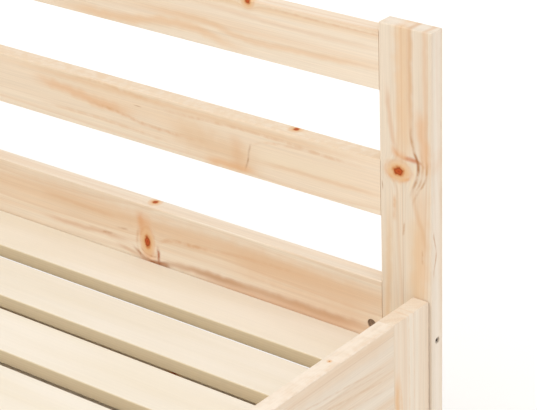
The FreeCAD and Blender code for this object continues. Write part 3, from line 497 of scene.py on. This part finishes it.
def slat_plywood(node, seed):
    """Sanded birch plywood: an even cream face with faint long fibres, and veneers that show as lines on the edges."""
    low, high = (np.array(corner) * 1000 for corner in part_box(node))
    material = bpy.data.materials.new("birch plywood, " + node.replace("_", " "))
    material.use_nodes = True
    tree = material.node_tree
    shader = tree.nodes["Principled BSDF"]
    coords = tree.nodes.new("ShaderNodeTexCoord")
    place = add(tree, "VectorMath", {0: coords.outputs["Object"], 1: (1000,) * 3, 2: tuple(-(low + high) / 2)},
                operation="MULTIPLY_ADD")
    # Fibres drawn 2.5 mm wide, clouds 350 mm long
    thread = add(tree, "VectorMath", {0: place, 1: (1 / 180, 1 / 2.5, 1 / 2.5), 2: (seed * 5.1,) * 3},
                 operation="MULTIPLY_ADD")
    fibre = add(tree, "TexNoise", {"Vector": thread, "Scale": 1.0, "Detail": 3.0})
    drift = add(tree, "VectorMath", {0: place, 1: (1 / 350, 1 / 40, 1 / 40), 2: (seed * 2.3,) * 3},
                operation="MULTIPLY_ADD")
    cloud = add(tree, "TexNoise", {"Vector": drift, "Scale": 1.0, "Detail": 2.0})
    # Veneers 1.6 mm thick, every other one across the slat
    level = add(tree, "SeparateXYZ", {0: place}, "Z")
    layer = add(tree, "Math", {0: add(tree, "Math", {0: level, 1: 0.8}, operation="ADD"), 1: 1.6}, operation="PINGPONG")
    veneer = add(tree, "MapRange", {"Value": layer, "From Min": 0.7, "From Max": 0.9})
    inner = add(tree, "Math", {0: level}, operation="ABSOLUTE")
    inner = add(tree, "MapRange", {"Value": inner, "From Min": 7.0, "From Max": 6.6})
    veneer = add(tree, "Math", {0: veneer, 1: inner}, operation="MULTIPLY")
    tone = add(tree, "Mix", {0: add(tree, "MapRange", {"Value": cloud, "From Min": 0.35, "From Max": 0.7}),
                             6: linear("#ECE4D6"), 7: linear("#E7DDCA")}, 2, data_type="RGBA")
    # Edges: layers seen end on, and partly painted warm shade, yellower than the face
    upright = add(tree, "Math", {0: add(tree, "SeparateXYZ", {0: coords.outputs["Normal"]}, "Z")}, operation="ABSOLUTE")
    side = add(tree, "MapRange", {"Value": upright, "From Min": 0.9, "From Max": 0.4, "To Max": 0.75})
    tone = add(tree, "Mix", {0: side, 6: tone, 7: linear("#EAD9B4")}, 2, data_type="RGBA")
    tone = add(tree, "Mix", {0: add(tree, "Math", {0: veneer, 1: 0.1}, operation="MULTIPLY"), 6: tone,
                             7: linear("#CFAE86")}, 2, data_type="RGBA")
    grain = add(tree, "MapRange", {"Value": fibre, "From Min": 0.3, "From Max": 0.7, "To Min": 0.98, "To Max": 1.015})
    tone = add(tree, "VectorMath", {0: tone, "Scale": grain}, operation="SCALE")
    tree.links.new(tone, shader.inputs["Base Color"])
    tree.links.new(add(tree, "MapRange", {"Value": fibre, "To Min": 0.5, "To Max": 0.66}), shader.inputs["Roughness"])
    normal = add(tree, "Bump", {"Strength": 0.12, "Distance": 0.0002, "Height": fibre})
    tree.links.new(normal, shader.inputs["Normal"])
    shader.inputs["Specular IOR Level"].default_value = 0.35
    return material


def plain_finish(name, pale, deep, size, metallic, smooth, rough):
    """A finish that drifts between two colours and two roughnesses over blotches of one size, in mm."""
    material = bpy.data.materials.new(name)
    material.use_nodes = True
    tree = material.node_tree
    shader = tree.nodes["Principled BSDF"]
    coords = tree.nodes.new("ShaderNodeTexCoord")
    blotch = add(tree, "TexNoise", {"Vector": coords.outputs["Object"], "Scale": 1000 / size, "Detail": 4.0})
    spread = add(tree, "MapRange", {"Value": blotch, "From Min": 0.3, "From Max": 0.7})
    tone = add(tree, "Mix", {0: spread, 6: linear(pale), 7: linear(deep)}, 2, data_type="RGBA")
    tree.links.new(tone, shader.inputs["Base Color"])
    tree.links.new(add(tree, "MapRange", {"Value": spread, "To Min": smooth, "To Max": rough}),
                   shader.inputs["Roughness"])
    normal = add(tree, "Bump", {"Strength": 0.15, "Distance": 0.0001, "Height": blotch})
    tree.links.new(normal, shader.inputs["Normal"])
    shader.inputs["Metallic"].default_value = metallic
    return material


def turned_fasteners(name, node, body, slot, profile, heads):
    """Like fasteners in one piece: a profile turned about each one's axis, which leads out of its head.

    A screw's cross recess adds two rings. At a turn t from the nearest arm, its outline is the smaller of the arm's
    reach and the arm's half width over sin t. Its floor has 0.6 of that outline, at the depth.
    """
    # Of these fasteners, the zinc-plated ones are the screws
    crossed = slot == "zinc_steel"
    arm = math.asin(CROSS_HALF / CROSS_REACH)
    quarter = np.array([-arm, 0, arm, math.pi / 8 + arm / 2, math.pi / 4, 3 * math.pi / 8 - arm / 2])
    turn = (np.arange(4)[:, None] * math.pi / 2 + quarter).ravel()
    profile = np.array(profile)
    radius = np.repeat(profile[1:-1, :1], len(turn), axis=1)
    height = profile[1:-1, 1]
    if crossed:
        lean = np.abs((turn + math.pi / 4) % (math.pi / 2) - math.pi / 4)
        outline = np.minimum(CROSS_REACH, CROSS_HALF / np.maximum(np.sin(lean), 1e-6))
        radius = np.vstack((radius, outline, 0.6 * outline))
        height = np.append(height, (0.0, -CROSS_DEPTH))
    place, axis = (np.array([head[i] for head in heads], float) for i in (0, 1))
    # Each one is driven home at its own turn
    spin = turn + np.random.default_rng(len(heads)).uniform(0, math.pi, (len(heads), 1))
    side = np.roll(axis, 1, axis=1)
    spoke = np.cos(spin)[..., None] * side[:, None] + np.sin(spin)[..., None] * np.cross(axis, side)[:, None]
    rings = radius[None, :, :, None] * spoke[:, None] + height[None, :, None, None] * axis[:, None, None]
    poles = profile[[0, -1], 1][None, :, None] * axis[:, None]
    points = np.concatenate((rings.reshape(len(heads), -1, 3), poles), axis=1) / 1000 + place[:, None]
    grid = np.arange(radius.size).reshape(radius.shape)
    beside = np.roll(grid, -1, axis=1)
    walls = np.stack((grid[:-1], beside[:-1], beside[1:], grid[1:]), -1).reshape(-1, 4)
    tip = np.stack((np.full(len(turn), radius.size), beside[0], grid[0]), -1)
    floor = np.stack((np.full(len(turn), radius.size + 1), grid[-1], beside[-1]), -1)
    start = np.arange(len(heads))[:, None, None] * points.shape[1]
    faces = [face for part in (walls, tip, floor) for face in (part + start).reshape(-1, part.shape[1]).tolist()]
    mesh = bpy.data.meshes.new(name)
    mesh.from_pydata(points.reshape(-1, 3).tolist(), [], faces)
    mesh.materials.append(finishes[slot])
    piece = bpy.data.objects.new(name, mesh)
    bpy.context.collection.objects.link(piece)
    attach(piece, body)
    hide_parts(node)


def fasteners():
    """Screws with cross recesses and barrel nuts with dished ends, each where its board's joint is."""
    middle = {node: (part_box(node)[0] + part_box(node)[1]) / 2 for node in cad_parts}
    low, high = ({node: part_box(node)[i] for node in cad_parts} for i in (0, 1))
    slats = {bed: [node for node in middle if node.startswith(bed + "_slat")] for bed in ("bed", "trundle")}
    bearers = {bed: [node for node in middle if node.startswith(bed + "_bearer")] for bed in ("bed", "trundle")}
    bed = [((middle[bearer].x, middle[slat].y, low[bearer].z + SCREW_SINK), (0, 0, -1))
           for slat in slats["bed"] for bearer in bearers["bed"]]
    nuts = []
    for end, rail, way in (("back", "back_bottom_rail", 1), ("front", "front_rail", -1)):
        ledger = end + "_ledger"
        inner = low if way > 0 else high
        bed += [((x, inner[ledger].y + way * SCREW_SINK, middle[ledger].z), (0, -way, 0))
                for x in np.linspace(low[ledger].x + LEDGER_INSET, high[ledger].x - LEDGER_INSET, LEDGER_SCREWS)]
        for side, sign in (("left", -1), ("right", 1)):
            stile = f"{side}_{end}_stile"
            nuts.append(((sign * (high[rail].x - NUT_SET), inner[rail].y + way * NUT_SINK, high[rail].z - NUT_DROP),
                         (0, -way, 0)))
            x = sign * (abs(middle[stile].x) - STILE_HALF_THICK + NUT_SINK)
            y = way * (abs(middle[stile].y) + STILE_HALF_WIDE - NUT_SET)
            nuts += [((x, y, level), (-sign, 0, 0)) for level in STILE_NUTS]
    trundle = [((middle[bearer].x, middle[slat].y, high[slat].z - SCREW_SINK), (0, 0, 1))
               for slat in slats["trundle"] for bearer in bearers["trundle"]]
    casters = [((middle[wheel].x + a * CASTER_SCREW_X, middle[wheel].y + b * CASTER_SCREW_Y,
                 high["caster_brackets"].z - CASTER_SCREW_DROP), (0, 0, -1))
               for wheel in middle if wheel.startswith("wheel") for a in (-1, 1) for b in (-1, 1)]
    turned_fasteners("bed_wood_screws", "bed_screws", "daybed", "zinc_steel", WOOD_SCREW, bed)
    turned_fasteners("trundle_wood_screws", "trundle_screws", "trundle", "zinc_steel", WOOD_SCREW, trundle)
    turned_fasteners("caster_pan_screws", "caster_screws", "trundle", "zinc_steel", PAN_SCREW, casters)
    turned_fasteners("dished_barrel_nuts", "barrel_nuts", "daybed", "dark_steel", BARREL_NUT, nuts)


def studio():
    """A wide pale floor, an even white surround, and soft suns from overhead, the left front and the right."""
    world = bpy.data.worlds.new("white surround")
    bpy.context.scene.world = world
    world.use_nodes = True
    world.node_tree.nodes["Background"].inputs["Color"].default_value = linear("#FFFFFF")
    world.node_tree.nodes["Background"].inputs["Strength"].default_value = 0.5
    mesh = bpy.data.meshes.new("floor")
    corners = np.array([(-1, -1, 0), (1, -1, 0), (1, 1, 0), (-1, 1, 0)]) * FLOOR_HALF
    mesh.from_pydata(corners.tolist(), [], [(0, 1, 2, 3)])
    floor = bpy.data.objects.new("floor", mesh)
    bpy.context.collection.objects.link(floor)
    paint = bpy.data.materials.new("matt white floor")
    paint.use_nodes = True
    shader = paint.node_tree.nodes["Principled BSDF"]
    shader.inputs["Base Color"].default_value = linear("#F8F7F5")
    shader.inputs["Emission Color"].default_value = linear("#FFFFFF")
    shader.inputs["Emission Strength"].default_value = 0.08
    shader.inputs["Roughness"].default_value = 0.9
    shader.inputs["Specular IOR Level"].default_value = 0.1
    mesh.materials.append(paint)
    for name, place, spread, power, tint in SUNS:
        lamp = bpy.data.lights.new(name, "SUN")
        lamp.angle, lamp.energy, lamp.color = math.radians(spread), power, linear(tint)[:3]
        holder = bpy.data.objects.new(name, lamp)
        holder.location = place
        holder.rotation_euler = Vector(place).to_track_quat("Z", "Y").to_euler()
        bpy.context.collection.objects.link(holder)


def photo_camera():
    """The camera: its axes follow from heading, tilt and roll, turned one after another."""
    heading, tilt, roll = (math.radians(angle) for angle in (HEADING, TILT, ROLL))
    right = Vector((math.cos(heading), math.sin(heading), 0))
    ahead = Vector((-math.sin(heading), math.cos(heading), 0))
    up = Vector((0, 0, 1))
    sight = ahead * math.cos(tilt) - up * math.sin(tilt)
    top = up * math.cos(tilt) + ahead * math.sin(tilt)
    side = right * math.cos(roll) + top * math.sin(roll)
    top = top * math.cos(roll) - right * math.sin(roll)
    camera = bpy.data.objects.new("camera", bpy.data.cameras.new("camera"))
    camera.data.lens, camera.data.sensor_width = FOCAL_LENGTH, SENSOR_WIDTH
    camera.matrix_world = Matrix.Translation(CAMERA_PLACE) @ Matrix((side, top, -sight)).transposed().to_4x4()
    bpy.context.collection.objects.link(camera)
    bpy.context.scene.camera = camera


knot_tree, pine_tree = knot_figure(), pine_figure()
finishes = {
    # Zinc-plated steel: bright, slightly warm grey, with a fine cloudy bloom
    "zinc_steel": plain_finish("zinc-plated steel", "#CFC6BA", "#AFA598", 3.0, 1.0, 0.28, 0.46),
    # Steel turned and left dark: grey-brown, half dull
    "dark_steel": plain_finish("darkened steel", "#A38C79", "#786353", 2.0, 0.9, 0.38, 0.58),
    # Moulded black nylon: even, softly dull, with a fine mould grain
    "wheel_plastic": plain_finish("moulded nylon", "#2E2E30", "#252527", 0.8, 0.0, 0.42, 0.56),
    # Beech dowels: pinkish tan with fine flecks
    "dowel_beech": plain_finish("turned beech", "#DDBB92", "#CFA677", 1.5, 0.0, 0.5, 0.65),
}
for seed, (name, piece) in enumerate(sorted(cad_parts.items()), 1):
    if "slat" in name:
        finish = slat_plywood(name, seed)
    elif name in ("frame_bolts", "bed_screws", "trundle_screws", "caster_screws", "caster_brackets", "caster_axles"):
        finish = finishes["zinc_steel"]
    elif name == "barrel_nuts":
        finish = finishes["dark_steel"]
    elif name.startswith("wheel"):
        finish = finishes["wheel_plastic"]
    elif name.endswith("dowels"):
        finish = finishes["dowel_beech"]
    else:
        finish = pine_board(name, seed)
    for spot in piece.material_slots:
        spot.material = finish

fasteners()
studio()
photo_camera()
bpy.context.scene.view_settings.view_transform = "Standard"
